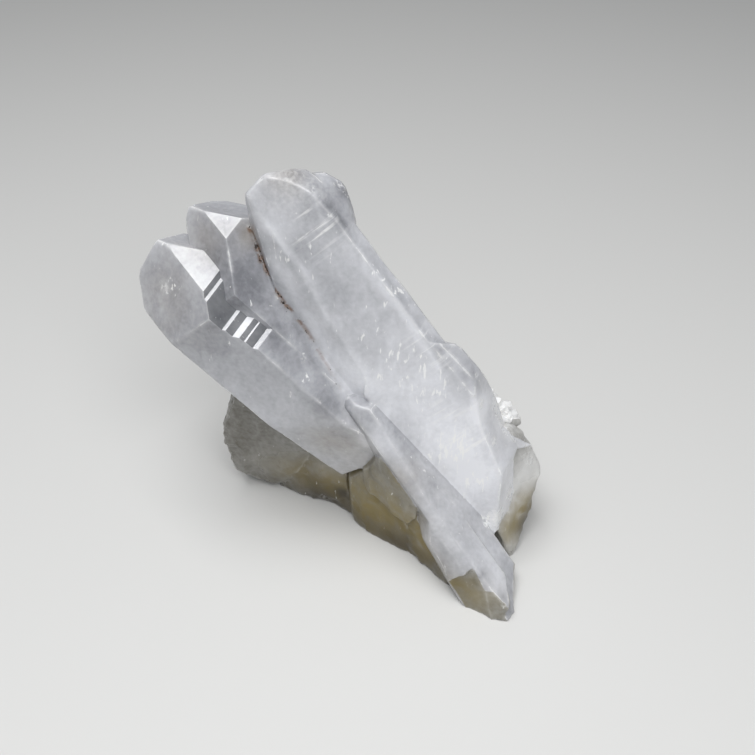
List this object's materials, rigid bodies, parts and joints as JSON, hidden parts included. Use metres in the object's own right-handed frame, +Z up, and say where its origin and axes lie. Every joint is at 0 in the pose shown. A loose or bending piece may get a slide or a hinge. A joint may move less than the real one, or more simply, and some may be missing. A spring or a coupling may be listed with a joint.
{
  "type": "quartz cluster",
  "caption": "Natural cluster of milky quartz crystals grown together side by side, leaning up to the left, standing on its broken root.",
  "frame": {"origin": "under the middle of the cluster's box, on the level that it stands on", "axes": "+Z up, +X to the right and +Y away as seen from the side with the widest crystal face; the crystals lean up towards -X"},
  "size_m": [0.077, 0.059, 0.0825],
  "materials": {
    "milky_quartz": "milky translucent quartz, glossy flat crystal faces, white bruised edges, yellow-brown iron stain on the broken root"
  },
  "bodies": {
    "root": {"quartz_cluster": "milky_quartz"}
  },
  "joints": []
}
